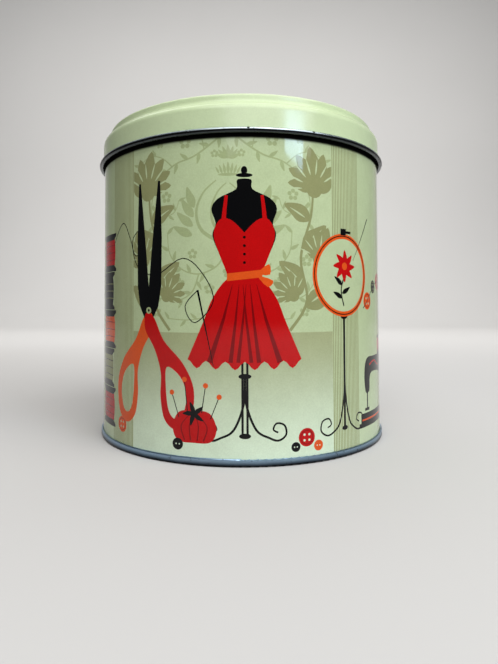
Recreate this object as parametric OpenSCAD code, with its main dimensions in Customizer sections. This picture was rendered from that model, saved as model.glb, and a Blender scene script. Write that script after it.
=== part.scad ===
// Round tin box of printed tinplate with a slip lid.
// Every piece is drawn at its real sheet thickness: the rims are hollow rolls, the side of the
// wall is closed by a folded lock seam and the bottom is held on by a double seam.

/* [Sheet] */
// Thickness of the tinplate
sheet_t = 0.25; // [0.2:0.01:0.3]
// Gap between two folded layers of sheet
fold_gap = 0.05; // [0.04:0.01:0.08]

/* [Wall] */
// Outside diameter of the wall
body_d = 130; // [90:1:170]
// Height from the table to the top of the open wall
body_h = 133.2; // [70:0.1:200]
// Radius of the inward roll along the top edge
rim_r = 1.1; // [0.9:0.05:1.2]
// How far round the top roll is turned, in degrees
rim_turn = 305; // [270:5:310]

/* [Side seam] */
// Width of the folded side seam
lock_w = 4; // [3:0.5:6]
// Length left unfolded at each end of the side seam
lock_lap = 7; // [6.5:0.5:12]
// Room past the edge of each sheet inside its fold
lock_room = 0.3; // [0.2:0.05:0.5]

/* [Bottom seam] */
// Height of the double seam round the foot
seam_h = 3; // [2.6:0.1:3.6]
// Room past the edge of each hook inside the seam
hook_room = 0.45; // [0.35:0.05:0.6]
// Width of the flat ring that the tin stands on
stand_w = 0.4; // [0.2:0.05:0.5]

/* [Bottom panel] */
// Height of the panel above the table
panel_z = 3.2; // [2.4:0.1:3.4]
// Depth of the groove round the panel
groove_depth = 1.6; // [1.5:0.1:2.4]
// Width of the flat floor of that groove
groove_w = 2; // [1:0.5:5]
// Bend radius at the edges of the groove, on the middle of the sheet
groove_bend = 0.5; // [0.4:0.05:0.6]
// Distance from the panel's edge to the middle of the stiffening bead
bead_inset = 13; // [6:0.5:30]
// Bend radius of the stiffening bead, on the middle of the sheet
bead_bend = 1.5; // [1:0.1:2.5]

/* [Lid] */
// Gap between the wall and the lid's skirt all round
lid_gap = 0.25; // [0.2:0.01:0.4]
// Gap left where the lid seats on the top roll
seat_gap = 0.15; // [0.05:0.01:0.2]
// Height of the skirt from the bottom of its roll to the shoulder
skirt_h = 12; // [8:0.5:30]
// Radius of the outward roll along the skirt
curl_r = 1.05; // [0.9:0.05:1.4]
// How far round the skirt's roll is turned, in degrees
curl_turn = 305; // [270:5:310]
// Outside radius of the shoulder
shoulder_r = 1.8; // [1.7:0.05:2.4]
// Width of the flat ledge between the shoulder and the raised top
ledge_w = 0.1; // [0.1:0.1:4]
// Radius at the foot of the raised top
foot_r = 1; // [0.4:0.05:1.2]
// Height of the raised top over the ledge
step_h = 4.3; // [3:0.1:8]
// Outside radius along the edge of the raised top
top_r = 1.2; // [0.8:0.1:1.5]

/* [Hidden] */
$fn = 144;
bend_fn = 72;
bead_turn = 45;
flat_margin = 0.8;
compound_drop = 0.1;

// Wall and double seam, whose layers lie one pitch apart, counted outward from the wall
pitch = sheet_t + fold_gap;
wall_out = body_d / 2;
wall_in = wall_out - sheet_t;
body_bend_x = wall_in + pitch + sheet_t / 2;
body_bend_z = 2 * pitch + sheet_t / 2;
end_bend_x = body_bend_x + pitch;
end_bend_z = seam_h - pitch - sheet_t / 2;
stand_bend = 2 * pitch - stand_w / 2;
stand_z = stand_bend + sheet_t / 2;
body_hook_top = seam_h - sheet_t - hook_room;
end_hook_foot = sheet_t + pitch + hook_room;
rim_z = body_h - rim_r;

// Side seam, which lies on a narrow flat across the back of the wall
lock_bottom = lock_lap;
lock_top = body_h - lock_lap;
lock_join = sheet_t;
lock_half = lock_w / 2;
jog_r = 1.5 * pitch;
jog_x = lock_half + pitch + sheet_t / 2 + fold_gap + jog_r + sheet_t / 2;
flat_x = jog_x + flat_margin;
flat_y = floor(1000 * sqrt(pow(wall_out, 2) - pow(flat_x, 2))) / 1000;

// Bottom panel
chuck_x = wall_in - pitch;
groove_z = panel_z + groove_depth - sheet_t;
groove_out_x = chuck_x + sheet_t / 2 - groove_bend;
groove_in_x = groove_out_x - groove_w;
groove_top_z = groove_z + sheet_t / 2 - groove_bend;
groove_foot_z = panel_z + sheet_t / 2 + groove_bend;
panel_r = groove_in_x - 2 * groove_bend;
bead_r = panel_r - bead_inset;
bead_half = 2 * bead_bend * sin(bead_turn);

// Lid: the shoulder is set by where its inside rests on the wall's top roll
skirt_in = wall_out + lid_gap;
skirt_out = skirt_in + sheet_t;
shoulder_x = skirt_out - shoulder_r;
seat_reach = shoulder_r - sheet_t - rim_r - seat_gap;
seat_side = wall_out - rim_r - shoulder_x;
seat_rise = seat_side > 0 ? sqrt(max(0, seat_reach * seat_reach - seat_side * seat_side)) : seat_reach;
shoulder_z = rim_z - seat_rise;
ledge_z = shoulder_z + shoulder_r;
curl_x = skirt_in + curl_r;
curl_z = ledge_z - skirt_h + curl_r;
riser_x = shoulder_x - ledge_w - foot_r;
top_z = ledge_z + step_h;

// Corners of a pie slice from angle a0 to angle a1
function slice(a0, a1, reach) = concat([[0, 0]],
    [for (i = [0:8]) let (a = a0 + (a1 - a0) * i / 8) reach * [cos(a), sin(a)]]);

// Sheet bent round a centre, with the bend's outside radius given
module bend_out(centre, r_out, a0, a1) {
    translate(centre) intersection() {
        difference() {
            circle(r = r_out, $fn = bend_fn);
            circle(r = r_out - sheet_t, $fn = bend_fn);
        }
        polygon(slice(a0, a1, 2 * r_out));
    }
}

// Sheet bent round a centre, with the radius at the middle of the sheet given
module bend_mid(centre, r_mid, a0, a1) {
    bend_out(centre, r_mid + sheet_t / 2, a0, a1);
}

// Flat run of sheet along X, with its lower face at z
module run(x0, x1, z) {
    translate([x0, z]) square([x1 - x0, sheet_t]);
}

// Upright run of sheet, with its left face at x
module rise(x, z0, z1) {
    translate([x, z0]) square([sheet_t, z1 - z0]);
}

// Foot of the wall: the hook that the bottom is folded round
module wall_foot_2d() {
    rise(wall_in + 2 * pitch, body_bend_z, body_hook_top);
    bend_mid([body_bend_x, body_bend_z], pitch, 180, 360);
    rise(wall_in, body_bend_z, lock_bottom + lock_join);
}

// Top of the wall: the hollow roll turned inward
module wall_top_2d() {
    rise(wall_in, lock_top - lock_join, rim_z);
    bend_out([wall_out - rim_r, rim_z], rim_r, 0, rim_turn);
}

// One layer of the side seam, counted inward from the outside of the wall
module lock_layer(layer, x0, x1) {
    run(x0, x1, flat_y - layer * pitch - sheet_t);
}

// Disc with the flat pressed into its back
module flattened(r, back_y) {
    intersection() {
        circle(r = r);
        translate([-2 * r, back_y - 4 * r]) square(4 * r);
    }
}

// Cross-section of the wall: a ring closed at the back by two interlocked hooks
module wall_section_2d() {
    mid_y = flat_y - sheet_t / 2;
    difference() {
        flattened(wall_out, flat_y);
        flattened(wall_in, flat_y - sheet_t);
        translate([lock_half, flat_y - 2 * sheet_t]) square([jog_x - lock_half, 3 * sheet_t]);
    }
    bend_mid([lock_half, mid_y - pitch], pitch, -90, 90);
    lock_layer(2, lock_room - lock_half, lock_half);

    bend_mid([jog_x, mid_y - jog_r], jog_r, 90, 180);
    bend_mid([jog_x - 2 * jog_r, mid_y - jog_r], jog_r, 270, 360);
    lock_layer(3, -lock_half, jog_x - 2 * jog_r);
    bend_mid([-lock_half, mid_y - 2 * pitch], pitch, 90, 270);
    lock_layer(1, -lock_half, lock_half - lock_room);
}

module body_wall() {
    color([0.76, 0.82, 0.64]) {
        rotate_extrude() wall_foot_2d();
        translate([0, 0, lock_bottom]) linear_extrude(lock_top - lock_bottom) wall_section_2d();
        rotate_extrude() wall_top_2d();
    }
}

// Edge of the bottom: down the inside of the wall, under its foot and up over its hook
module end_seam_2d() {
    rise(chuck_x, stand_z, groove_top_z);
    bend_mid([body_bend_x - stand_w / 2, stand_z], stand_bend, 180, 270);
    run(body_bend_x - stand_w / 2, body_bend_x + stand_w / 2, 0);
    bend_mid([body_bend_x + stand_w / 2, stand_z], stand_bend, 270, 360);
    rise(chuck_x + 4 * pitch, stand_z, end_bend_z);
    bend_mid([end_bend_x, end_bend_z], pitch, 0, 180);
    rise(chuck_x + 2 * pitch, end_hook_foot, end_bend_z);
}

// Groove round the panel, which lets the bottom flex
module end_groove_2d() {
    bend_mid([groove_out_x, groove_top_z], groove_bend, 0, 90);
    run(groove_in_x, groove_out_x, groove_z);
    bend_mid([groove_in_x, groove_top_z], groove_bend, 90, 180);
    rise(groove_in_x - groove_bend - sheet_t / 2, groove_foot_z, groove_top_z);
    bend_mid([panel_r, groove_foot_z], groove_bend, 270, 360);
}

// Flat panel with one round bead pressed up into the tin
module end_panel_2d() {
    mid_z = panel_z + sheet_t / 2;
    run(bead_r + bead_half, panel_r, panel_z);
    bend_mid([bead_r + bead_half, mid_z + bead_bend], bead_bend, 270 - bead_turn, 270);
    bend_mid([bead_r, mid_z + bead_bend * (1 - 2 * cos(bead_turn))], bead_bend, 90 - bead_turn, 90 + bead_turn);
    bend_mid([bead_r - bead_half, mid_z + bead_bend], bead_bend, 270, 270 + bead_turn);
    run(0, bead_r - bead_half, panel_z);
}

module bottom_end() {
    color([0.62, 0.66, 0.70])
        rotate_extrude() {
            end_seam_2d();
            end_groove_2d();
            end_panel_2d();
        }
}

// Strip of sealing compound that lies on the edge of the wall's hook
module seam_compound() {
    color([0.25, 0.25, 0.27])
        rotate_extrude()
            translate([wall_in + 2 * pitch, body_hook_top])
                square([sheet_t, hook_room - fold_gap - compound_drop]);
}

// Profile of the lid's sheet, from the middle of its top to the end of the skirt's roll
module lid_2d() {
    run(0, riser_x - top_r, top_z - sheet_t);
    bend_out([riser_x - top_r, top_z - top_r], top_r, 0, 90);
    rise(riser_x - sheet_t, ledge_z + foot_r, top_z - top_r);
    bend_out([riser_x + foot_r, ledge_z + foot_r], foot_r + sheet_t, 180, 270);
    run(riser_x + foot_r, shoulder_x, ledge_z - sheet_t);
    bend_out([shoulder_x, shoulder_z], shoulder_r, 0, 90);
    rise(skirt_in, curl_z, shoulder_z);
    bend_out([curl_x, curl_z], curl_r, 180, 180 + curl_turn);
}

module lid() {
    color([0.78, 0.84, 0.67]) rotate_extrude() lid_2d();
}

body_wall();
bottom_end();
seam_compound();
lid();
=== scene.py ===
import math

import bpy
import numpy as np
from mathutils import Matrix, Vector
from mathutils.geometry import delaunay_2d_cdt


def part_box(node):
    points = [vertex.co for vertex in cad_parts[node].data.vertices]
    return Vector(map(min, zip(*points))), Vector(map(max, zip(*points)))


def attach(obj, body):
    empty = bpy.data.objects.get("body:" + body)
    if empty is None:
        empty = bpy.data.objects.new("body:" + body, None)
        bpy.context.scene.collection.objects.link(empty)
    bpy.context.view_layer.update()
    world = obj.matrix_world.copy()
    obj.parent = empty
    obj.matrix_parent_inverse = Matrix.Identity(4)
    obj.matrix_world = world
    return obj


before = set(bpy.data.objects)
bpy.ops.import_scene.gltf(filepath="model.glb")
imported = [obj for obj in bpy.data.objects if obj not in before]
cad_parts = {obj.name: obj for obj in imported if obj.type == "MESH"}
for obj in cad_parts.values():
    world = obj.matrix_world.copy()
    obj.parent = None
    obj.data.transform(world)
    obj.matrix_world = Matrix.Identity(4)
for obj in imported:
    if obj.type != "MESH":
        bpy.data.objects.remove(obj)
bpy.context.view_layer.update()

# ---------------------------------------------------------------- studio
# A pale seamless sheet that runs back and curves up behind the tin. A broad
# softbox in front, a small window at the right, a weak lamp above, and a lamp
# behind the tin that faces the rise of the sheet. Places here are in metres.
SHEET_COLOUR = (0.57, 0.555, 0.535)
SHEET_BOUNCE = (0.31, 0.31, 0.305)


def new_material(name):
    """A material, its node tree and its Principled shader."""
    material = bpy.data.materials.new(name)
    material.use_nodes = True
    tree = material.node_tree
    return material, tree, tree.nodes["Principled BSDF"]


def add(tree, kind, links=(), **settings):
    """A node with its settings; links feed its inputs by name or by number."""
    node = tree.nodes.new(kind)
    for key, value in settings.items():
        setattr(node, key, value)
    for key, source in dict(links).items():
        if isinstance(source, bpy.types.NodeSocket):
            tree.links.new(source, node.inputs[key])
        else:
            node.inputs[key].default_value = source
    return node


def object_place(tree):
    """Where a spot lies on the object, in metres."""
    return add(tree, "ShaderNodeTexCoord").outputs["Object"]


def make_piece(name, points, faces, materials):
    """A smooth-shaded mesh object from points in metres."""
    mesh = bpy.data.meshes.new(name)
    mesh.from_pydata(points, [], faces)
    for material in materials:
        mesh.materials.append(material)
    mesh.shade_smooth()
    piece = bpy.data.objects.new(name, mesh)
    bpy.context.scene.collection.objects.link(piece)
    return piece


scene = bpy.context.scene
scene.view_settings.view_transform = "Standard"

FRAME_HIGH_PX = 664
FOCAL_PX = 511.2
SHIFT_PX = (20.0, -44.7)
SENSOR_MM = 24
CAMERA_PLACE = (0, -0.2515, 0.0589)
YAW, PITCH, ROLL = -0.0224, 0.0325, -0.0027
lens = bpy.data.cameras.new("camera")
lens.sensor_fit = "VERTICAL"
lens.sensor_height = SENSOR_MM
lens.lens = SENSOR_MM * FOCAL_PX / FRAME_HIGH_PX
lens.shift_x = SHIFT_PX[0] / FRAME_HIGH_PX
lens.shift_y = SHIFT_PX[1] / FRAME_HIGH_PX
lens.clip_start = 0.01
camera = bpy.data.objects.new("camera", lens)
scene.collection.objects.link(camera)
camera.location = CAMERA_PLACE
sight = Vector((math.sin(YAW) * math.cos(PITCH), math.cos(YAW) * math.cos(PITCH), math.sin(PITCH)))
camera.rotation_euler = sight.to_track_quat("-Z", "Y").to_euler()
camera.rotation_euler.rotate_axis("Z", ROLL)
scene.camera = camera

paper, tree, shader = new_material("studio_sheet")
cloud = add(tree, "ShaderNodeTexNoise", {"Vector": object_place(tree), "Scale": 3.0, "Detail": 3.0})
shade = add(tree, "ShaderNodeMix", {"Factor": cloud.outputs["Fac"], "A": SHEET_COLOUR + (1,),
                                    "B": tuple(c * 0.95 for c in SHEET_COLOUR) + (1,)},
            data_type="RGBA")
rays = add(tree, "ShaderNodeLightPath").outputs
seen = add(tree, "ShaderNodeMath", {0: rays["Is Camera Ray"], 1: rays["Is Glossy Ray"]},
           operation="MAXIMUM")
seen = add(tree, "ShaderNodeMath", {0: seen.outputs[0], 1: rays["Is Transmission Ray"]},
           operation="MAXIMUM")
paper_face = add(tree, "ShaderNodeMix", {"Factor": seen.outputs[0], "A": SHEET_BOUNCE + (1,),
                                         "B": shade.outputs["Result"]}, data_type="RGBA")
tree.links.new(paper_face.outputs["Result"], shader.inputs["Base Color"])
shader.inputs["Roughness"].default_value = 0.9
shader.inputs["Specular IOR Level"].default_value = 0.1
SHEET_FRONT, SHEET_BACK, SHEET_TOP, SHEET_HALF_WIDTH = -1.6, 1.0, 2.6, 2.4
RISE_R, RISE_STEPS = 0.6, 16
sheet_line = [(SHEET_FRONT, 0.0)]
for k in range(RISE_STEPS + 1):
    a = math.pi / 2 * k / RISE_STEPS
    sheet_line.append((SHEET_BACK + RISE_R * math.sin(a), RISE_R - RISE_R * math.cos(a)))
sheet_line.append((SHEET_BACK + RISE_R, SHEET_TOP))
sheet_points = [(x, y, z) for x in (-SHEET_HALF_WIDTH, SHEET_HALF_WIDTH) for y, z in sheet_line]
count = len(sheet_line)
studio_sheet = make_piece("studio_sheet", sheet_points,
                          [(k, k + count, k + count + 1, k + 1) for k in range(count - 1)], [paper])


def softbox(name, place, target, width, height, watts, colour=(1, 1, 1)):
    """A rectangular lamp that faces a target, from its place and size in metres."""
    lamp = bpy.data.lights.new(name, "AREA")
    lamp.shape = "RECTANGLE"
    lamp.size, lamp.size_y = width, height
    lamp.energy = watts
    lamp.color = colour
    holder = bpy.data.objects.new(name, lamp)
    scene.collection.objects.link(holder)
    holder.location = place
    holder.rotation_euler = (Vector(target) - Vector(place)).to_track_quat("-Z", "Y").to_euler()
    return holder


DAYLIGHT = (0.5, 0.74, 1)
WINDOW_LEAN = math.radians(-10)
softbox("key", (0.25, -0.595, 0.820), (0, 0, 0.12), 1.3, 1.1, 16)
window = softbox("window", (0.602, -0.698, 0.400), (0.02, -0.06, 0.115), 0.23, 0.09, 1.4, DAYLIGHT)
window.rotation_euler.rotate_axis("Z", WINDOW_LEAN)
softbox("top_lamp", (-0.1, 0.5, 1.2), (0, 0.05, 0), 1.3, 1.0, 6)
softbox("backdrop_lamp", (0, 0.6, 0.9), (0, 1.3, 0.45), 2.2, 0.7, 16)
world = bpy.data.worlds.new("studio_air")
scene.world = world
world.use_nodes = True
air = world.node_tree.nodes["Background"].inputs
air["Color"].default_value = (0.30, 0.31, 0.33, 1)
air["Strength"].default_value = 0.4

# ---------------------------------------------------------------- wall of the tin
# One sheet of tinplate rolled into a tube, folded into a lock seam at the back
# and rolled inward at the mouth. Inside, in the fold and on the roll it is bare.
STAIN_COLOUR = (0.10, 0.075, 0.06, 1)


def effect(name, takes, gives):
    """A shader node group with named sockets: the group, what it is given and what it gives."""
    group = bpy.data.node_groups.new(name, "ShaderNodeTree")
    for way, sockets in (("INPUT", takes), ("OUTPUT", gives)):
        for socket, kind in sockets.items():
            group.interface.new_socket(socket, in_out=way, socket_type="NodeSocket" + kind)
    given = group.nodes.new("NodeGroupInput").outputs
    result = group.nodes.new("NodeGroupOutput").inputs
    return group, given, result


def tinplate_grain():
    """Rolling lines, dull clouds and small stains of bare tinplate."""
    group, given, result = effect(
        "tinplate_grain", {"Tint": "Color", "Stretch": "Vector", "Dullness": "Float", "Stain": "Float"},
        {"Color": "Color", "Roughness": "Float", "Height": "Float"})
    spot = object_place(group)
    drawn = add(group, "ShaderNodeVectorMath", {0: spot, 1: given["Stretch"]}, operation="MULTIPLY")
    lines = add(group, "ShaderNodeTexNoise", {"Vector": drawn.outputs[0], "Scale": 1.0,
                                              "Detail": 5.0, "Roughness": 0.65})
    clouds = add(group, "ShaderNodeTexNoise", {"Vector": spot, "Scale": 70.0, "Detail": 4.0})
    specks = add(group, "ShaderNodeTexNoise", {"Vector": spot, "Scale": 900.0, "Detail": 2.0})
    dark = add(group, "ShaderNodeMapRange", {"Value": clouds.outputs["Fac"], "From Min": 0.35,
                                             "From Max": 0.7, "To Min": 1.0, "To Max": 0.86})
    fleck = add(group, "ShaderNodeMapRange", {"Value": specks.outputs["Fac"], "From Min": 0.62,
                                              "From Max": 0.74, "To Min": 0.0, "To Max": 1.0})
    marked = add(group, "ShaderNodeMath", {0: fleck.outputs[0], 1: given["Stain"]},
                 operation="MULTIPLY")
    tone = add(group, "ShaderNodeMix", {"Factor": 1.0, "A": given["Tint"],
                                        "B": dark.outputs[0]}, data_type="RGBA",
               blend_type="MULTIPLY")
    stained = add(group, "ShaderNodeMix", {"Factor": marked.outputs[0], "A": tone.outputs["Result"],
                                           "B": STAIN_COLOUR}, data_type="RGBA")
    group.links.new(stained.outputs["Result"], result["Color"])
    rough = add(group, "ShaderNodeMath", {0: clouds.outputs["Fac"], 1: 0.22, 2: given["Dullness"]},
                operation="MULTIPLY_ADD")
    rougher = add(group, "ShaderNodeMath", {0: marked.outputs[0], 1: 0.3, 2: rough.outputs[0]},
                  operation="MULTIPLY_ADD")
    group.links.new(rougher.outputs[0], result["Roughness"])
    group.links.new(lines.outputs["Fac"], result["Height"])
    return group


GRAIN = tinplate_grain()


def bare_tinplate(name, tint, stretch, dullness=0.2, stain=0.5, bump=0.05):
    """Bare tinplate, with its rolling lines along the direction in which stretch is small."""
    material, tree, shader = new_material(name)
    grain = add(tree, "ShaderNodeGroup", node_tree=GRAIN)
    grain.inputs["Tint"].default_value = tint + (1,)
    grain.inputs["Stretch"].default_value = stretch
    grain.inputs["Dullness"].default_value = dullness
    grain.inputs["Stain"].default_value = stain
    relief = add(tree, "ShaderNodeBump", {"Height": grain.outputs["Height"],
                                          "Strength": bump, "Distance": 0.00005})
    tree.links.new(grain.outputs["Color"], shader.inputs["Base Color"])
    tree.links.new(grain.outputs["Roughness"], shader.inputs["Roughness"])
    tree.links.new(relief.outputs["Normal"], shader.inputs["Normal"])
    shader.inputs["Metallic"].default_value = 1.0
    return material


def dress(node, material):
    """Gives a CAD node its material."""
    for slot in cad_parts[node].material_slots:
        slot.material = material


dress("body_wall", bare_tinplate("wall_tinplate", (0.62, 0.65, 0.68), (180, 180, 2500)))

# ---------------------------------------------------------------- printed sheet
# The outside of the wall: offset inks laid flat on the sheet before it was
# rolled, under one coat of clear varnish. It stops short of the lock seam and
# just over the roll at the mouth. Outlines are in mm, u round the wall from the
# front and z up from the table.
MM = 0.001
# The wall is widest at its hook inside the double seam, which stands out from the rest.
HOOK_OUT = 0.6
WALL_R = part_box("body_wall")[1].x / MM - HOOK_OUT
WALL_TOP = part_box("body_wall")[1].z / MM
INK_LIFT = 0.03
PRINT_R = WALL_R + INK_LIFT

# The flat band round the lock seam: its half width, and how far short of its middle
# the print ends at the left, where it passes the middle, and at the right. The band
# lies between two heights, and fades into the round wall there.
FLAT_HALF, LEFT_GAP, RIGHT_GAP = 3.85, -2.0, 3.05
FLAT_Y = math.sqrt(WALL_R ** 2 - FLAT_HALF ** 2) + INK_LIFT
ROUND_END = PRINT_R * (math.pi - math.asin(FLAT_HALF / PRINT_R))
SEAM_END = 6.9
SEAM_Z = (SEAM_END, WALL_TOP - SEAM_END)
SEAM_FADE = 0.2

# The roll at the mouth, and the four edges of the print.
MOUTH_R, MOUTH_TURN = 1.1, math.radians(62)
ROLL_X, ROLL_Z, ROLL_R = WALL_R - MOUTH_R, WALL_TOP - MOUTH_R, MOUTH_R + INK_LIFT
U_LEFT = -(ROUND_END + FLAT_HALF - LEFT_GAP)
U_RIGHT = ROUND_END + FLAT_HALF - RIGHT_GAP
Z_FOOT = 2.7
Z_HEAD = ROLL_Z + ROLL_R * MOUTH_TURN

artwork = []


def ink(name, *outlines, holes=()):
    """Prints closed outlines in one ink, over what is already there."""
    artwork.append((name, outlines, holes))


def smooth(points, closed=True, steps=5):
    """A smooth line through a few points."""
    last = len(points)
    line = []
    for k in range(last if closed else last - 1):
        near = [points[(k + i) % last] if closed else points[min(max(k + i, 0), last - 1)]
                for i in (-1, 0, 1, 2)]
        for s in range(steps):
            t = s / steps
            line.append(tuple(0.5 * (2 * b + (c - a) * t + (2 * a - 5 * b + 4 * c - d) * t * t
                                     + (3 * b - a - 3 * c + d) * t ** 3)
                              for a, b, c, d in zip(*near)))
    return line if closed else line + [points[-1]]


def pen(line, start, end=None):
    """The outline of a pen stroke along a line, from one width to another."""
    end = start if end is None else end
    left, right = [], []
    last = len(line) - 1
    for k, (x, y) in enumerate(line):
        (xa, ya), (xb, yb) = line[max(k - 1, 0)], line[min(k + 1, last)]
        long = math.hypot(xb - xa, yb - ya) or 1
        half = (start + (end - start) * k / last) / 2
        left.append((x - (yb - ya) / long * half, y + (xb - xa) / long * half))
        right.append((x + (yb - ya) / long * half, y - (xb - xa) / long * half))
    return left + right[::-1]


def oval(u, z, across, up=None, corners=20):
    """An ellipse with its half sizes, or a circle with one."""
    up = across if up is None else up
    return [(u + across * math.cos(a), z + up * math.sin(a))
            for a in (2 * math.pi * k / corners for k in range(corners))]


def move(line, u=0.0, z=0.0, size=1.0, turn=0.0, flip=False):
    """A line turned, sized, mirrored and put in its place."""
    c, s = math.cos(turn) * size, math.sin(turn) * size
    return [(u + (-x if flip else x) * c - y * s, z + (-x if flip else x) * s + y * c)
            for x, y in line]


def both(line):
    """A right-hand outline closed with its mirror image."""
    return line + [(-x, y) for x, y in reversed(line) if abs(x) > 1e-6]


def strip(u0, z0, u1, z1):
    """A plain rectangle between two corners."""
    return [(u0, z0), (u1, z0), (u1, z1), (u0, z1)]


LEAF = [(0, 0), (0.13, 0.12), (0.2, 0.34), (0.17, 0.62), (0, 1.0), (-0.11, 0.62), (-0.15, 0.3)]


def leaf(u, z, long, turn, fat=1.0):
    """A pointed leaf from its foot."""
    return move(smooth([(x * fat, y) for x, y in LEAF], steps=3), u, z, long, turn)


# Ground: three panels of damask round the wall, each over a shaded plinth, with
# pinstriped borders between them.
PANEL = 2 * math.pi * PRINT_R / 3
PANEL_HALF, PANEL_SHIFT, PLINTH_TOP = 41.7, -4.5, 48.3
STRIPES, STRIPE_START, STRIPE_PITCH, STRIPE_HALF = 18, 0.45, 0.88, 0.2
CENTRES = [PANEL_SHIFT - PANEL, PANEL_SHIFT, PANEL_SHIFT + PANEL]
for u0 in CENTRES:
    ink("plinth", strip(u0 - PANEL_HALF, 0, u0 + PANEL_HALF, PLINTH_TOP))
    for k in range(STRIPES):
        for side in (-1, 1):
            line = u0 + side * (PANEL_HALF + STRIPE_START + STRIPE_PITCH * k)
            ink("olive", strip(line - STRIPE_HALF, 0, line + STRIPE_HALF, Z_HEAD))


def wallpaper(centre):
    """A traditional damask panel: a medallion between vines, and fan flowers at its edges."""
    def lay(*lines, tone="sage", sides=(-1, 1)):
        """Prints right-hand outlines and their mirror images, cut off at the panel's edge."""
        for line in lines:
            for side in sides:
                ink(tone, [(centre + side * min(x, PANEL_HALF), y) for x, y in line])

    def vine(line, width, leaves, long):
        """A tapering stem with leaves on either side in turn."""
        path = smooth(line, False, 7)
        lay(pen(path, width, width * 0.5))
        for k in range(1, leaves + 1):
            spot = k * (len(path) - 2) // leaves
            here, ahead = path[spot], path[spot + 1]
            along = math.atan2(ahead[1] - here[1], ahead[0] - here[0]) - math.pi / 2
            lay(leaf(*here, long, along + 0.85 * (-1) ** k))

    def rosette(x, y, r):
        """A small flower of five round petals."""
        for k in range(5):
            a = 2 * math.pi * k / 5
            lay(oval(x + 0.66 * r * math.sin(a), y + 0.66 * r * math.cos(a), 0.4 * r, corners=7))

    def fan_flower(x, y, r, turn):
        """A large open flower with pale veins, its stem at the foot."""
        for k in (-3, 3, -2, 2, -1, 1, 0):
            lay(leaf(x, y, r * (1.02 - 0.1 * abs(k)), turn + 0.44 * k, 1.45), tone="olive")
        lay(oval(x, y, 0.24 * r, corners=14), tone="olive")
        for k in range(-3, 4):
            a = turn + 0.44 * k + 0.2
            foot = (x - 0.34 * r * math.sin(a), y + 0.34 * r * math.cos(a))
            lay(leaf(*foot, r * 0.4, a, 0.32), tone="ground")

    # The medallion: a pointed bud, a crown over it and two pairs of bracts.
    lay(leaf(0, 84.5, 14, 0, 1.5), oval(0, 106.6, 3.7, 0.6, 12), sides=(1,))
    for k in range(-3, 4):
        lay(leaf(0.3 * k, 112.5, 5.2 - 0.3 * abs(k), -0.36 * k, 0.9), sides=(1,))
        lay(leaf(1.1 * k, 107, 4.4 - 0.5 * abs(k), -0.16 * k, 0.8), sides=(1,))
    lay(pen(smooth([(0.8, 83), (5.2, 88), (6.2, 94), (4, 100), (0.6, 103.5)], False), 1.3, 0.4),
        pen(smooth([(2.6, 81.5), (9.8, 86), (12, 93), (9.4, 100), (4.4, 104.6)], False), 1.6, 0.4))
    for k in range(4):
        lay(leaf(13.6 - 0.3 * k, 84.6 + 3.4 * k, 8.6, -1.15 + 0.26 * k, 1.1))

    # The vines, and the rosettes strewn between them.
    vine([(0.5, 123), (6, 118.5), (13, 114), (21, 111.5), (28, 106), (31.5, 98), (31, 88)], 0.8, 10, 4.2)
    vine([(9, 116.5), (10.5, 122), (15, 126), (21, 127)], 0.5, 4, 3.4)
    vine([(22, 111), (27, 115), (33, 116), (39, 113)], 0.5, 4, 3.4)
    vine([(31, 97), (26, 92.5), (21, 93.5), (19, 98)], 0.5, 4, 3.2)
    vine([(0.5, 79), (4, 73), (11, 70), (18, 72), (23, 78), (24, 86)], 0.7, 8, 4.0)
    vine([(11, 70), (14, 63), (21, 60), (29, 62), (34, 68)], 0.6, 7, 3.8)
    vine([(0.5, 66), (3, 59), (8, 54.5), (15, 53), (24, 53.5)], 0.6, 6, 3.4)
    for x, y, r in ((16.5, 119.5, 2.4), (24.5, 99.5, 2.2), (37, 105, 2.4), (7, 64.5, 2.0),
                    (19, 66.5, 2.3), (30, 75, 2.3), (29, 56, 2.0), (37, 61, 2.2),
                    (13.5, 77.5, 1.9), (5, 114.5, 1.5), (27.5, 120.5, 1.8), (0.01, 70.5, 2.0)):
        rosette(x, y, r)

    # The tall stem at the panel's edge, with its veined leaves and fan flowers.
    lay(pen(smooth([(23, 49), (30, 60), (27.5, 76), (32, 92), (33, 104)], False), 1.2, 0.9), tone="olive")
    for x, y, long, turn in ((29.4, 58, 15, -1.0), (28.6, 66, 13, 0.85), (28, 80, 14, -0.9),
                             (31.4, 90, 12, 1.05)):
        lay(leaf(x, y, long, turn, 1.5), tone="olive")
        foot = (x - 0.2 * long * math.sin(turn), y + 0.2 * long * math.cos(turn))
        lay(leaf(*foot, long * 0.6, turn, 0.25), tone="ground")
    for x, y, r, turn in ((33.5, 102.5, 15.5, 0.12), (35.5, 76, 12.5, -0.35), (24.5, 62, 10, 0.6)):
        fan_flower(x, y, r, turn)


for u0 in CENTRES:
    wallpaper(u0)


# Notions: reels, buttons, shears, dress forms, hoops, hand machines and pincushions,
# and the ink in which lines are drawn on each colour.
LINE_INK = {"red": "deep_red", "orange": "deep_red", "olive": "black", "black": "olive"}


def spool(u, z, wide, high, thread):
    """A standing reel full of thread."""
    half = wide / 2
    swell = [(0.8, 0.15), (0.88, 0.3), (0.9, 0.5), (0.88, 0.7), (0.8, 0.85)]
    ink(thread, [(u + x * half, z + y * high) for x, y in both(swell)])
    for k in range(3):
        low = z + high * (0.28 + 0.19 * k)
        groove = [(-0.86 * half, low), (0, low + 0.035 * high), (0.86 * half, low + 0.02 * high)]
        ink(LINE_INK[thread], pen(move(groove, u), 0.3))
    flange = both([(1, 0), (1, 0.07), (0.72, 0.17)])
    for foot, side in ((z, 1), (z + high, -1)):
        ink("black", [(u + x * half, foot + side * y * high) for x, y in flange])


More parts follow.
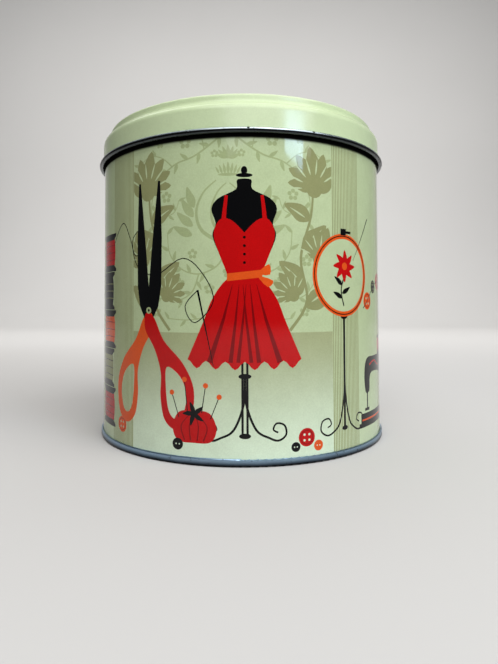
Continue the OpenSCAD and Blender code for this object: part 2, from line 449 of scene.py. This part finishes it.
def button(u, z, r, colour):
    """A small button with two holes, or a large one with four and a rim line."""
    large = r > 2.5
    spots = [(i, j) for i in (-1, 1) for j in (-1, 1)] if large else [(-1, 0), (1, 0)]
    ink(colour, oval(u, z, r, corners=24),
        holes=[oval(u + 0.3 * r * i, z + 0.3 * r * j, 0.14 * r, corners=8) for i, j in spots])
    if large:
        ink(LINE_INK[colour], oval(u, z, 0.78 * r, corners=24),
            holes=[oval(u, z, 0.70 * r, corners=24)])


def shears(u, z, open_angle=0.10):
    """Tailor's shears with the points up, turned about their screw."""
    screw = 48
    blade = [(-0.9, 44), (2.4, 45), (4.6, 50), (5.2, 58), (3.6, 76), (0.6, 98), (-0.5, 98), (-0.9, 70)]
    handle = smooth([(1.6, 47), (-2.4, 45), (-6.2, 36), (-13.5, 27), (-17, 17), (-14.5, 6), (-8.5, 2.5),
                     (-3.6, 6.5), (-2.6, 15), (-3.6, 24), (-1.5, 33), (2.6, 41)])
    hole = smooth([(-6.6, 26), (-12, 22), (-13.8, 15), (-11.6, 8), (-8.2, 6.6), (-5.8, 10), (-5.4, 18)])
    for flip in (False, True):
        turn = open_angle if flip else -open_angle

        def half(line, turn=turn, flip=flip):
            """An outline of one half, opened about the screw."""
            pivoted = [(x, y - screw) for x, y in line]
            return move(pivoted, u, z + screw, turn=turn, flip=flip)

        ink("black", half(blade))
        ink("red" if flip else "orange", half(handle), holes=[half(hole)])
    ink("sage", oval(u, z + screw, 1.3, corners=14), holes=[oval(u, z + screw, 0.55, corners=10)])


def wire_foot(u, z, side, reach, high, width=0.9):
    """One curled wrought leg that comes down from a post."""
    leg = smooth([(0, high), (0.5, high * 0.6), (reach * 0.45, high * 0.22), (reach, 2.2),
                  (reach + 3.4, 1.2), (reach + 6.2, 3.2), (reach + 5.6, 6.6), (reach + 2.6, 7.4),
                  (reach + 1.4, 5.2), (reach + 3.2, 4.1)], False, 6)
    ink("black", pen([(u + side * x, z + y) for x, y in leg], width, width * 0.7))


def dress_form(u, z):
    """A headless stand with a red dress on it."""
    for side in (-1, 1):
        wire_foot(u, z, side, 9.0, 24)
    for x in (-0.9, 0.9):
        ink("black", strip(u + x - 0.42, z + 3, u + x + 0.42, z + 30))
    ink("black", oval(u, z + 3, 2.2, 1.0, 16), oval(u, z + 24.5, 2.4, 1.0, 16))
    form = both(smooth([(0, 97), (2.7, 96.4), (3.1, 93), (9.6, 89.8), (12.2, 86), (10.6, 80.5),
                        (11.8, 76), (9.2, 69), (6.6, 62.5), (6.4, 60)], False, 4))
    ink("black", move(form, u, z))
    ink("black", oval(u, z + 98.2, 3.1, 0.8, 16), oval(u, z + 100, 1.2, 1.6, 12))
    flare, waves = 21.5, 36
    skirt = smooth([(0, 62), (6.4, 60), (11.8, 53), (15.5, 44), (flare, 30.5)], False, 4)
    hem = [(flare * (1 - 2 * k / waves), 28.3 + 1.5 * math.cos(k * 1.05) + 0.002 * (k - waves / 2) ** 2)
           for k in range(1, waves)]
    ink("red", move(skirt + hem, u, z) + move(skirt[::-1], u, z, flip=True))
    bodice = smooth([(0, 77), (4.5, 81.5), (8.4, 82.3), (10.9, 79), (11.2, 75), (9.0, 68.5),
                     (6.5, 62), (6.6, 59)], False, 4)
    ink("red", move(both(bodice), u, z))
    for side in (-1, 1):
        strap = [(u + side * 7.6, z + 81.5), (u + side * 7.2, z + 86), (u + side * 6.6, z + 90.9)]
        ink("red", pen(strap, 1.7, 1.2))
        for x0, x1, wide in ((2.0, 5.2, 1.6), (4.4, 13.0, 2.0), (0.6, -2.4, 1.4)):
            pleat = [(u + side * x0, z + 58), (u + side * (x0 * 0.6 + x1 * 0.4), z + 45),
                     (u + side * x1, z + 29.5)]
            ink("deep_red", pen(pleat, 0.15, wide))
    sash = [(-6.5, 59.2), (6.5, 60.6), (6.7, 63.4), (-6.4, 62.0)]
    ink("orange", move(sash, u, z))
    ink("orange", smooth([(u + 5, z + 62), (u + 9, z + 65.5), (u + 9.4, z + 61.6)], steps=3),
        smooth([(u + 5, z + 61), (u + 8.6, z + 57), (u + 10.6, z + 59.4)], steps=3))
    for k in range(4):
        ink("black", oval(u, z + 66 + 3.1 * k, 0.55, corners=8))


def hoop(u, z):
    """An embroidery hoop on a wrought stand, with a stitched flower."""
    for side in (-1, 1):
        wire_foot(u, z, side, 6.0, 26, 0.8)
    ink("black", strip(u - 0.55, z + 3, u + 0.55, z + 46))
    ink("black", oval(u, z + 46, 2.0, 1.2, 12), oval(u, z + 3, 1.7, 0.9, 12))
    ink("ground", oval(u, z + 62, 15.0, 15.6, 40))
    ink("orange", oval(u, z + 62, 15.6, 16.2, 44), holes=[oval(u, z + 62, 13.6, 14.2, 40)])
    ink("black", oval(u, z + 62, 14.9, 15.5, 44), holes=[oval(u, z + 62, 14.5, 15.1, 44)])
    ink("black", strip(u - 1.6, z + 77.6, u + 1.6, z + 80.2),
        strip(u + 1.6, z + 78.4, u + 4.4, z + 79.4))
    ink("black", pen(smooth([(u, z + 50), (u - 1.5, z + 56), (u + 0.5, z + 62)], False), 0.6))
    for y, turn in ((53, 1.1), (55, -1.1), (58, 0.88)):
        ink("black", leaf(u - 1, z + y, 5.4, turn))
    for k in range(8):
        ink("red", leaf(u + 0.6, z + 65.5, 6.4, k * math.pi / 4, 1.25))
    ink("orange", oval(u + 0.6, z + 65.5, 1.5, corners=12))
    ink("black", pen([(u + 18, z + 86), (u + 6, z + 68)], 0.55, 0.2))


def hand_machine(u, z):
    """A small crank machine seen from the side."""
    arm = smooth([(17, 4), (17.5, 14), (15, 23.5), (6, 27), (-8, 27), (-16.5, 26.5), (-19, 21),
                  (-18, 13), (-14.2, 13), (-13.6, 18.5), (-10, 20.6), (2, 19.4), (7.4, 16), (8.6, 8),
                  (8.8, 4)], steps=4)
    ink("black", move(arm, u, z))
    ink("black", strip(u - 22, z, u + 21, z + 4.4), strip(u - 23.4, z - 1.2, u + 22.4, z + 0.6))
    ink("black", strip(u - 16.8, z + 6, u - 15.8, z + 13), strip(u - 18.6, z + 5.2, u - 14.4, z + 6.4))
    ink("black", oval(u + 21, z + 17.5, 3.0, 7.4, 24), holes=[oval(u + 21, z + 17.5, 1.5, 5.0, 20)])
    ink("orange", strip(u - 21, z + 1.4, u + 20, z + 2.1))
    for k in range(6):
        ink("orange", leaf(u + 12.6, z + 15, 4.0, k * math.pi / 3, 0.8))
    scroll = smooth([(u - 14, z + 23.6), (u - 8, z + 25), (u - 2, z + 22.6), (u + 5, z + 24)], False)
    ink("red", pen(scroll, 0.8, 0.4))
    spool(u + 1.0, z + 27.2, 6.0, 8.0, "red")


def pincushion(u, z):
    """A stuffed tomato with pins."""
    ink("red", smooth([(u - 8.6, z + 5.5), (u - 6.5, z + 0.6), (u, z), (u + 6.5, z + 0.6),
                       (u + 8.6, z + 5.5), (u + 6, z + 11), (u, z + 11.8), (u - 6, z + 11)]))
    for x in (-4.6, -1.6, 1.6, 4.6):
        tuck = smooth([(u + x * 0.3, z + 10.5), (u + x * 1.1, z + 6), (u + x * 0.8, z + 0.8)], False)
        ink("deep_red", pen(tuck, 0.3, 0.5))
    for k in range(5):
        ink("black", leaf(u, z + 10.6, 4.6, math.radians(72 * k + 20), 1.1))
    for x, y, long in ((-6, 9, 9), (-2.5, 11, 12), (3, 11, 10), (6.4, 9, 8)):
        tip = (u + x * 1.5, z + y + long)
        ink("black", pen([(u + x, z + y), tip], 0.35))
        ink("orange", oval(*tip, 1.0, corners=10))


# The layout: one scene at the front and a second one across the back. The shears
# and the machines stand a little higher than the rest.
STAND_Z, SHEARS_Z, MACHINE_Z = 8, 8.5, 10
REEL_WIDE, REEL_HIGH, REEL_PITCH = 17, 16, 16.2
for middle, sway, threads in ((-69.5, 0.8, ("red", "olive", "orange", "black", "red")),
                              (-180, 0.6, ("orange", "black", "red", "black", "orange"))):
    for k, thread in enumerate(threads):
        spool(middle + sway * (-1) ** k, STAND_Z + REEL_PITCH * k, REEL_WIDE, REEL_HIGH, thread)
shears(-37.5, SHEARS_Z)
dress_form(1.5, STAND_Z)
hoop(43.5, STAND_Z)
hand_machine(76.5, MACHINE_Z)
pincushion(-17.5, STAND_Z)
pincushion(140, STAND_Z)
shears(118, SHEARS_Z, 0.16)
dress_form(-112, STAND_Z)
hoop(-146, STAND_Z)
hand_machine(180, MACHINE_Z)
for u, z, r, colour in ((-54, 10.5, 3.2, "orange"), (-24, 7.2, 2.2, "black"), (25, 9.6, 3.4, "red"),
                        (20.5, 6.4, 1.8, "black"), (30, 6.2, 2.0, "orange"), (61, 60, 3.6, "orange"),
                        (68, 66, 2.8, "black"), (76, 68.5, 3.6, "red"), (84, 66, 2.8, "black"),
                        (91, 60, 3.6, "orange"), (-88, 9, 3, "red"), (158, 9, 3, "red"),
                        (-162, 9, 3, "orange")):
    button(u, z, r, colour)
# The string through a row of buttons, and a thread that runs from the reels to a needle.
button_string = [(57, 57), (61, 60), (68, 66), (76, 68.5), (84, 66), (91, 60), (95, 57)]
loose_thread = [(-62, 84), (-54, 92), (-49, 86), (-45, 78), (-40, 82), (-42, 88), (-47, 84), (-44, 74),
                (-34, 70), (-22, 76), (-14, 70), (-10, 60), (-17, 52), (-21, 58), (-16, 64)]
for line in (button_string, loose_thread):
    ink("black", pen(smooth(line, False), 0.38))
ink("black", pen([(-16, 64), (-10, 36)], 0.8, 0.2))


def inside(outline, points):
    """Which points the outline winds round."""
    turns = np.zeros(len(points), int)
    x, y = points[:, 0], points[:, 1]
    for (xa, ya), (xb, yb) in zip(outline, outline[1:] + outline[:1]):
        side = (xb - xa) * (y - ya) - (x - xa) * (yb - ya)
        turns += ((ya <= y) & (yb > y) & (side > 0)).astype(int)
        turns -= ((ya > y) & (yb <= y) & (side < 0)).astype(int)
    return turns != 0


# How finely the sheet is cut: round the wall, across the flat band and over the roll.
WALL_STEP, WALL_STEPS = math.radians(2), 88
BAND_STEP, BAND_STEPS = 1.0, 6
MOUTH_STEPS = 6


def printed_sheet():
    """The flat sheet cut along every edge of ink: its spots, its triangles and their inks."""
    points, edges = [], []

    def rule(line, closed=True):
        """Makes the sheet's triangles end along a line."""
        start = len(points)
        points.extend(line)
        edges.extend((start + k, start + k + 1) for k in range(len(line) - 1))
        if closed:
            edges.append((start + len(line) - 1, start))

    def trimmed(outline):
        """An outline kept inside the sheet."""
        return [(min(max(x, U_LEFT), U_RIGHT), min(max(y, Z_FOOT), Z_HEAD)) for x, y in outline]

    rule(strip(U_LEFT, Z_FOOT, U_RIGHT, Z_HEAD))
    upright = [PRINT_R * WALL_STEP * k for k in range(-WALL_STEPS, WALL_STEPS + 1)]
    upright += [side * (ROUND_END + BAND_STEP * k) for k in range(BAND_STEPS) for side in (-1, 1)]
    for u in upright:
        if U_LEFT < u < U_RIGHT:
            rule([(u, Z_FOOT), (u, Z_HEAD)], False)
    level = [SEAM_Z[0], SEAM_Z[0] + SEAM_FADE, SEAM_Z[1] - SEAM_FADE, SEAM_Z[1]]
    level += [ROLL_Z + (Z_HEAD - ROLL_Z) * k / MOUTH_STEPS for k in range(MOUTH_STEPS)]
    for z in level:
        rule([(U_LEFT, z), (U_RIGHT, z)], False)
    art = [(name, [trimmed(o) for o in outlines], [trimmed(h) for h in holes])
           for name, outlines, holes in artwork]
    for name, outlines, holes in art:
        for line in outlines + holes:
            rule(line)
    flat = delaunay_2d_cdt([Vector(p) for p in points], edges, [], 0, 1e-4, False)
    spots = np.array([tuple(v) for v in flat[0]])
    triangles = np.array(flat[2])
    middles = spots[triangles].mean(1)
    inks = np.zeros(len(triangles), int)
    for name, outlines, holes in art:
        low = np.min([np.min(o, 0) for o in outlines], 0)
        high = np.max([np.max(o, 0) for o in outlines], 0)
        near = np.nonzero(((middles >= low) & (middles <= high)).all(1))[0]
        if len(near):
            held = np.any([inside(o, middles[near]) for o in outlines], 0)
            for hole in holes:
                held &= ~inside(hole, middles[near])
            inks[near[held]] = INK_NAMES.index(name)
    return spots, triangles, inks


def rolled(u, z):
    """A spot of the flat sheet on the wall, in metres, with the way it faces."""
    lift = max(z - ROLL_Z, 0) / ROLL_R
    away = ROLL_X + ROLL_R * math.cos(lift) if lift else PRINT_R
    high = ROLL_Z + ROLL_R * math.sin(lift) if lift else z
    side = 1 if u > 0 else -1
    past = abs(u) - ROUND_END
    angle = min(abs(u), ROUND_END) / PRINT_R * side
    x, y = away * math.sin(angle), -away * math.cos(angle)
    facing = (math.sin(angle) * math.cos(lift), -math.cos(angle) * math.cos(lift), math.sin(lift))
    if past > 0:
        x = (FLAT_HALF - past) * side
        flat = min(max((z - SEAM_Z[0]) / SEAM_FADE, 0), max((SEAM_Z[1] - z) / SEAM_FADE, 0), 1)
        y = math.sqrt(away ** 2 - x ** 2) * (1 - flat) + FLAT_Y * flat
        facing = (x / away * (1 - flat) * math.cos(lift), math.cos(lift), math.sin(lift))
    return (x * MM, y * MM, high * MM), facing


def varnish_marks():
    """Mottled ink, haze from handling, and a soft waviness in the varnish."""
    group, given, result = effect("varnish_marks", {"Ink": "Color", "Mottle": "Float", "Haze": "Float"},
                                  {"Color": "Color", "Roughness": "Float", "Height": "Float"})
    spot = object_place(group)
    mottle = add(group, "ShaderNodeTexNoise", {"Vector": spot, "Scale": 160.0, "Detail": 5.0,
                                               "Roughness": 0.6})
    grain = add(group, "ShaderNodeTexNoise", {"Vector": spot, "Scale": 1800.0, "Detail": 1.0})
    blend = add(group, "ShaderNodeMath", {0: mottle.outputs["Fac"], 1: grain.outputs["Fac"]})
    level = add(group, "ShaderNodeMapRange", {"Value": blend.outputs[0], "From Min": 0.7,
                                              "From Max": 1.3, "To Min": 1.0, "To Max": 0.0})
    depth = add(group, "ShaderNodeMath", {0: level.outputs[0], 1: given["Mottle"]},
                operation="MULTIPLY")
    darker = add(group, "ShaderNodeMix", {"Factor": 1.0, "A": given["Ink"],
                                          "B": (0.62, 0.62, 0.58, 1)}, data_type="RGBA",
                 blend_type="MULTIPLY")
    tone = add(group, "ShaderNodeMix", {"Factor": depth.outputs[0], "A": given["Ink"],
                                        "B": darker.outputs["Result"]}, data_type="RGBA")
    group.links.new(tone.outputs["Result"], result["Color"])
    smear = add(group, "ShaderNodeTexNoise", {"Vector": spot, "Scale": 28.0, "Detail": 4.0})
    rough = add(group, "ShaderNodeMath", {0: smear.outputs["Fac"], 1: given["Haze"], 2: 0.3},
                operation="MULTIPLY_ADD")
    group.links.new(rough.outputs[0], result["Roughness"])
    wave = add(group, "ShaderNodeTexNoise", {"Vector": spot, "Scale": 16.0, "Detail": 1.0})
    wavy = add(group, "ShaderNodeMath", {0: wave.outputs["Fac"], 1: 4.0, 2: grain.outputs["Fac"]},
               operation="MULTIPLY_ADD")
    group.links.new(wavy.outputs[0], result["Height"])
    return group


VARNISH = varnish_marks()


def height_band():
    """A band that fades in over a height, with an uneven edge. It places painted shade and painted light.
    """
    group, given, result = effect("height_band", {"Clean": "Float", "Full": "Float", "Wander": "Float"},
                                  {"Mask": "Float"})
    spot = object_place(group)
    height = add(group, "ShaderNodeSeparateXYZ", {0: spot}).outputs["Z"]
    edge = add(group, "ShaderNodeTexNoise", {"Vector": spot, "Scale": 120.0, "Detail": 3.0})
    shift = add(group, "ShaderNodeMath", {0: edge.outputs["Fac"], 1: 0.5}, operation="SUBTRACT")
    uneven = add(group, "ShaderNodeMath", {0: shift.outputs[0], 1: given["Wander"], 2: height},
                 operation="MULTIPLY_ADD")
    band = add(group, "ShaderNodeMapRange", {"Value": uneven.outputs[0], "From Min": given["Clean"],
                                             "From Max": given["Full"]}, interpolation_type="SMOOTHSTEP")
    group.links.new(band.outputs[0], result["Mask"])
    return group


HEIGHT_BAND = height_band()


def height_mask(tree, band_start, band_full, wander=0.4):
    """A mask that grows from a starting height to a full one and wanders a little, in mm. It places painted
    shade and painted light.
    """
    band = add(tree, "ShaderNodeGroup", node_tree=HEIGHT_BAND)
    band.inputs["Clean"].default_value = band_start * MM
    band.inputs["Full"].default_value = band_full * MM
    band.inputs["Wander"].default_value = wander * MM
    return band.outputs["Mask"]


def linear(red, green, blue):
    """A colour given as 0-255 screen values, as the shader's linear colour."""
    return tuple(((c / 255 + 0.055) / 1.055) ** 2.4 if c > 10 else c / 255 / 12.92
                 for c in (red, green, blue)) + (1.0,)


def varnished(name, colour, mottle=0.3, haze=0.2, coat_roughness=0.07, coat_ior=1.33):
    """An ink or lacquer under clear varnish."""
    material, tree, shader = new_material(name)
    marks = add(tree, "ShaderNodeGroup", node_tree=VARNISH)
    marks.inputs["Ink"].default_value = linear(*colour)
    marks.inputs["Mottle"].default_value = mottle
    marks.inputs["Haze"].default_value = haze
    relief = add(tree, "ShaderNodeBump", {"Height": marks.outputs["Height"],
                                          "Strength": 0.12, "Distance": 0.00008})
    tree.links.new(marks.outputs["Color"], shader.inputs["Base Color"])
    tree.links.new(marks.outputs["Roughness"], shader.inputs["Roughness"])
    tree.links.new(relief.outputs["Normal"], shader.inputs["Normal"])
    shader.inputs["Coat Weight"].default_value = 1.0
    shader.inputs["Coat Roughness"].default_value = coat_roughness
    shader.inputs["Coat IOR"].default_value = coat_ior
    shader.inputs["Specular IOR Level"].default_value = 0.0
    return material


# The painted shadow ring on the wall just under the lid's roll: its lower and upper edge, each from
# unshaded to full shade.
SHADOW_RING_FOOT, SHADOW_RING_HEAD = (119.5, 120.6), (124.6, 123.4)
SHADOW_RING_COLOUR = (0.004, 0.0035, 0.003, 1)


def roll_shadow_ring(material):
    """Adds a painted shadow: a dark, dull ring on the wall just under the lid's roll."""
    tree = material.node_tree
    shader = tree.nodes["Principled BSDF"]
    low, high = height_mask(tree, *SHADOW_RING_FOOT), height_mask(tree, *SHADOW_RING_HEAD)
    shadow_ring = add(tree, "ShaderNodeMath", {0: low, 1: high}, operation="MULTIPLY")
    colour = shader.inputs["Base Color"].links[0].from_socket
    roughness = shader.inputs["Roughness"].links[0].from_socket
    dark = add(tree, "ShaderNodeMix", {"Factor": shadow_ring.outputs[0], "A": colour, "B": SHADOW_RING_COLOUR},
               data_type="RGBA")
    dull = add(tree, "ShaderNodeMath", {0: shadow_ring.outputs[0], 1: 0.35, 2: roughness},
               operation="MULTIPLY_ADD")
    gloss = add(tree, "ShaderNodeMath", {0: 1.0, 1: shadow_ring.outputs[0]}, operation="SUBTRACT")
    tree.links.new(dark.outputs["Result"], shader.inputs["Base Color"])
    tree.links.new(dull.outputs[0], shader.inputs["Roughness"])
    tree.links.new(gloss.outputs[0], shader.inputs["Coat Weight"])
    return material


INKS = {
    "ground": (186, 199, 155),
    "plinth": (162, 167, 124),
    "sage": (162, 173, 126),
    "olive": (144, 146, 100),
    "black": (5, 5, 6),
    "red": (188, 8, 10),
    "deep_red": (124, 4, 8),
    "orange": (222, 84, 26),
}
INK_NAMES = list(INKS)
# Painted light: three inks turn paler towards the foot: from what height, in mm, and to what colour.
PAINTED_FOOT_LIGHT = {"plinth": (50, (220, 235, 207)), "ground": (45, (203, 217, 177)), "sage": (45, (184, 196, 152))}
spots, triangles, inks = printed_sheet()
wrapped = [rolled(u, z) for u, z in spots]
# Every ink carries the painted shadow ring under the lid's roll.
sheet_print = make_piece("printed_sheet", [p for p, n in wrapped], triangles.tolist(),
                         [roll_shadow_ring(varnished("ink_" + name, colour)) for name, colour in INKS.items()])
for name, (start, tone) in PAINTED_FOOT_LIGHT.items():
    lit_ink = bpy.data.materials["ink_" + name].node_tree
    marks = [n for n in lit_ink.nodes if n.type == "GROUP" and n.node_tree == VARNISH][0]
    foot_light = add(lit_ink, "ShaderNodeMix", {"Factor": height_mask(lit_ink, start, 0, 0.0), "A": linear(*INKS[name]),
                                       "B": linear(*tone)}, data_type="RGBA")
    lit_ink.links.new(foot_light.outputs["Result"], marks.inputs["Ink"])
sheet_print.data.polygons.foreach_set("material_index", inks.astype("int32"))
sheet_print.data.normals_split_custom_set_from_vertices([n for p, n in wrapped])
unrolled = sheet_print.data.uv_layers.new(name="OFBake")
for loop in sheet_print.data.loops:
    u, z = spots[loop.vertex_index]
    unrolled.uv[loop.index].vector = ((u - U_LEFT) / (U_RIGHT - U_LEFT),
                                      (z - Z_FOOT) / (Z_HEAD - Z_FOOT))
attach(sheet_print, "tin")

# ---------------------------------------------------------------- bottom
# A pressed disc of bare tinplate, with a groove and a bead, its edge folded round
# the foot of the wall in a double seam, which is nicked and darkened towards its foot by painted shade.
# The darkest painted shade on the rims, and the colour of the nicks and chips.
RIM_SHADE_COLOUR = (0.008, 0.008, 0.009, 1)
NICK_COLOUR = (0.01, 0.01, 0.011, 1)
UNDERSIDE_LESS = 0.13


def rim_wear_and_shade(material, radius, tint, band_start, band_full, foot):
    """Tints and nicks a rim outside a radius, and darkens it with painted shade from a starting
    height down to a full one, a little less below its foot. All are in mm."""
    tree = material.node_tree
    shader = tree.nodes["Principled BSDF"]
    spot = object_place(tree)
    flat = add(tree, "ShaderNodeVectorMath", {0: spot, 1: (1, 1, 0)}, operation="MULTIPLY")
    away = add(tree, "ShaderNodeVectorMath", {0: flat.outputs[0]}, operation="LENGTH")
    rim = add(tree, "ShaderNodeMapRange", {"Value": away.outputs["Value"], "From Min": (radius - 0.1) * MM,
                                           "From Max": (radius + 0.1) * MM})
    plain = shader.inputs["Base Color"].links[0].from_socket
    tinted = add(tree, "ShaderNodeMix", {"Factor": 1.0, "A": plain, "B": tint + (1,)},
                 data_type="RGBA", blend_type="MULTIPLY")
    worn = add(tree, "ShaderNodeMix", {"Factor": rim.outputs[0], "A": plain, "B": tinted.outputs["Result"]},
               data_type="RGBA")
    shade_mask = add(tree, "ShaderNodeMath", {0: rim.outputs[0], 1: height_mask(tree, band_start, band_full)},
                 operation="MULTIPLY")
    underside = add(tree, "ShaderNodeMath", {0: height_mask(tree, foot, foot + 0.3), 1: UNDERSIDE_LESS,
                                             2: 1 - UNDERSIDE_LESS}, operation="MULTIPLY_ADD")
    shade_mask = add(tree, "ShaderNodeMath", {0: shade_mask.outputs[0], 1: underside.outputs[0]},
                 operation="MULTIPLY")
    shaded_rim = add(tree, "ShaderNodeMix", {"Factor": shade_mask.outputs[0], "A": worn.outputs["Result"],
                                            "B": RIM_SHADE_COLOUR}, data_type="RGBA")
    nick = add(tree, "ShaderNodeTexVoronoi", {"Vector": spot, "Scale": 44.0})
    dent = add(tree, "ShaderNodeMapRange", {"Value": nick.outputs["Distance"], "From Min": 0.03,
                                            "From Max": 0.015})
    nicked = add(tree, "ShaderNodeMath", {0: rim.outputs[0], 1: dent.outputs[0]}, operation="MULTIPLY")
    scarred = add(tree, "ShaderNodeMix", {"Factor": nicked.outputs[0], "A": shaded_rim.outputs["Result"],
                                          "B": NICK_COLOUR}, data_type="RGBA")
    tree.links.new(scarred.outputs["Result"], shader.inputs["Base Color"])


end_tinplate = bare_tinplate("end_tinplate", (0.50, 0.55, 0.60), (60, 2500, 60), stain=0.7, bump=0.08)
# Painted shade darkens the outside of the double seam towards its foot.
rim_wear_and_shade(end_tinplate, radius=65.2, tint=(0.58, 0.76, 0.94), band_start=2.6, band_full=0.4, foot=-2)
dress("bottom_end", end_tinplate)

# ---------------------------------------------------------------- sealing compound
# A thin ring of dark rubber compound, run into the bottom's edge before it was
# folded. It is pressed flat inside the double seam and shows from no side.
sealing, tree, shader = new_material("sealing_compound")
crumb = add(tree, "ShaderNodeTexNoise", {"Vector": object_place(tree), "Scale": 900.0})
shade = add(tree, "ShaderNodeMapRange", {"Value": crumb.outputs["Fac"], "To Min": 0.03, "To Max": 0.07})
tree.links.new(shade.outputs[0], shader.inputs["Base Color"])
shader.inputs["Roughness"].default_value = 0.75
dress("seam_compound", sealing)

# ---------------------------------------------------------------- lid
# Drawn from one disc of tinplate: raised top, rounded shoulder and a skirt whose
# edge is rolled outward. Bare inside and on the roll, which has lost two chips.
CHIP_TURNS = (math.radians(2.6), math.radians(24.4))
CHIP_R, CHIP_Z, CHIP_BARE, CHIP_EDGE = 67.2, 123.3, 0.4, 0.7
lid_tinplate = bare_tinplate("lid_tinplate", (0.60, 0.63, 0.66), (90, 90, 2500), dullness=0.16,
                             stain=0.6)
# Painted shade darkens the lower half of the roll, a little less at its very underside.
rim_wear_and_shade(lid_tinplate, radius=65.4, tint=(0.80, 0.88, 0.88), band_start=123.15, band_full=122.65, foot=121.95)
tree = lid_tinplate.node_tree
shader = tree.nodes["Principled BSDF"]
for a in CHIP_TURNS:
    chip = (CHIP_R * math.sin(a) * MM, -CHIP_R * math.cos(a) * MM, CHIP_Z * MM)
    away = add(tree, "ShaderNodeVectorMath", {0: object_place(tree), 1: chip}, operation="DISTANCE")
    chipped = add(tree, "ShaderNodeMapRange", {"Value": away.outputs["Value"],
                                               "From Min": CHIP_EDGE * MM, "From Max": CHIP_BARE * MM})
    whole = shader.inputs["Base Color"].links[0].from_socket
    bared = add(tree, "ShaderNodeMix", {"Factor": chipped.outputs[0], "A": whole, "B": NICK_COLOUR},
                data_type="RGBA")
    tree.links.new(bared.outputs["Result"], shader.inputs["Base Color"])
dress("lid", lid_tinplate)

# The lid's outside is lacquered in one pale green, down to the start of the roll.
LACQUER = 0.03
STEP, TOP_R, FOOT_R = 4.3, 1.2, 2.4
SKIRT_OUT, SHOULDER_R, RISER_IN = 0.5, 1.8, 1.1
SKIRT_R = WALL_R + SKIRT_OUT
TOP_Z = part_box("lid")[1].z / MM
LEDGE_Z = TOP_Z - STEP
SHOULDER_X, SHOULDER_Z = SKIRT_R - SHOULDER_R, LEDGE_Z - SHOULDER_R
RISER_X = SHOULDER_X - RISER_IN
SOFT_FOOT, SKIRT_FOOT = 131.1, 123.75


def bend(x, z, r, a0, a1, steps):
    """Points and facings round a bend of the profile, in degrees."""
    out = []
    for k in range(steps + 1):
        a = math.radians(a0 + (a1 - a0) * k / steps)
        out.append((x + r * math.cos(a), z + r * math.sin(a), math.cos(a), math.sin(a)))
    return out


profile = [(r, TOP_Z + LACQUER, 0.0, 1.0) for r in (5, 15, 30, 45, 55)]
profile += bend(RISER_X - TOP_R, TOP_Z - TOP_R, TOP_R + LACQUER, 90, 0, 8)
# The foot of the raised top runs straight into the shoulder, at the turn where they touch.
foot_x = RISER_X + LACQUER + FOOT_R
reach = SHOULDER_R + LACQUER + FOOT_R
meeting = math.acos((foot_x - SHOULDER_X) / reach)
foot_z = SHOULDER_Z + reach * math.sin(meeting)
foot = bend(foot_x, foot_z, FOOT_R, 180, 180 + math.degrees(meeting), 8)
profile += [(x, z, -nx, -nz) for x, z, nx, nz in foot]
# The facings of the shoulder run on softly into the skirt, as on a drawn edge.
shoulder = bend(SHOULDER_X, SHOULDER_Z, SHOULDER_R + LACQUER, math.degrees(meeting), 0, 12)[1:]
shoulder += [(SKIRT_R + LACQUER, z, 1.0, 0.0) for z in (131.6, 131.35, SOFT_FOOT)]
for x, z, nx, nz in shoulder:
    soft = math.asin(min((z - SOFT_FOOT) / (LEDGE_Z + LACQUER - SOFT_FOOT), 1))
    profile.append((x, z, math.cos(soft), math.sin(soft)))
profile += [(SKIRT_R + LACQUER, z, 1.0, 0.0) for z in (129, 126.5, 124.5, SKIRT_FOOT)]
AROUND = 240
lid_points, lid_facing, lid_faces = [], [], []
for k in range(AROUND):
    a = 2 * math.pi * k / AROUND
    for x, z, nx, nz in profile:
        lid_points.append((x * math.sin(a) * MM, -x * math.cos(a) * MM, z * MM))
        lid_facing.append((nx * math.sin(a), -nx * math.cos(a), nz))
rows = len(profile)
for k in range(AROUND):
    for j in range(rows - 1):
        here, there = k * rows + j, (k + 1) % AROUND * rows + j
        lid_faces.append((here, here + 1, there + 1, there))
lid_faces.append(tuple(k * rows for k in range(AROUND)))
lacquer = varnished("lid_lacquer", (196, 210, 167), mottle=0.2, haze=0.15, coat_roughness=0.19,
                    coat_ior=1.42)
tree = lacquer.node_tree
shader = tree.nodes["Principled BSDF"]
clean_skirt = shader.inputs["Base Color"].links[0].from_socket
# Painted shade: a dark line in the crease where the skirt meets the roll.
crease_shade = height_mask(tree, SKIRT_FOOT + 0.4, SKIRT_FOOT + 0.1, 0.0)
crease = add(tree, "ShaderNodeMath", {0: crease_shade, 1: 0.6}, operation="MULTIPLY")
skirt_edge = add(tree, "ShaderNodeMix", {"Factor": crease.outputs[0], "A": clean_skirt,
                                         "B": (0.05, 0.05, 0.045, 1)}, data_type="RGBA")
tree.links.new(skirt_edge.outputs["Result"], shader.inputs["Base Color"])
lid_skin = make_piece("lid_lacquer", lid_points, lid_faces, [lacquer])
lid_skin.data.normals_split_custom_set_from_vertices(lid_facing)
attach(lid_skin, "lid")
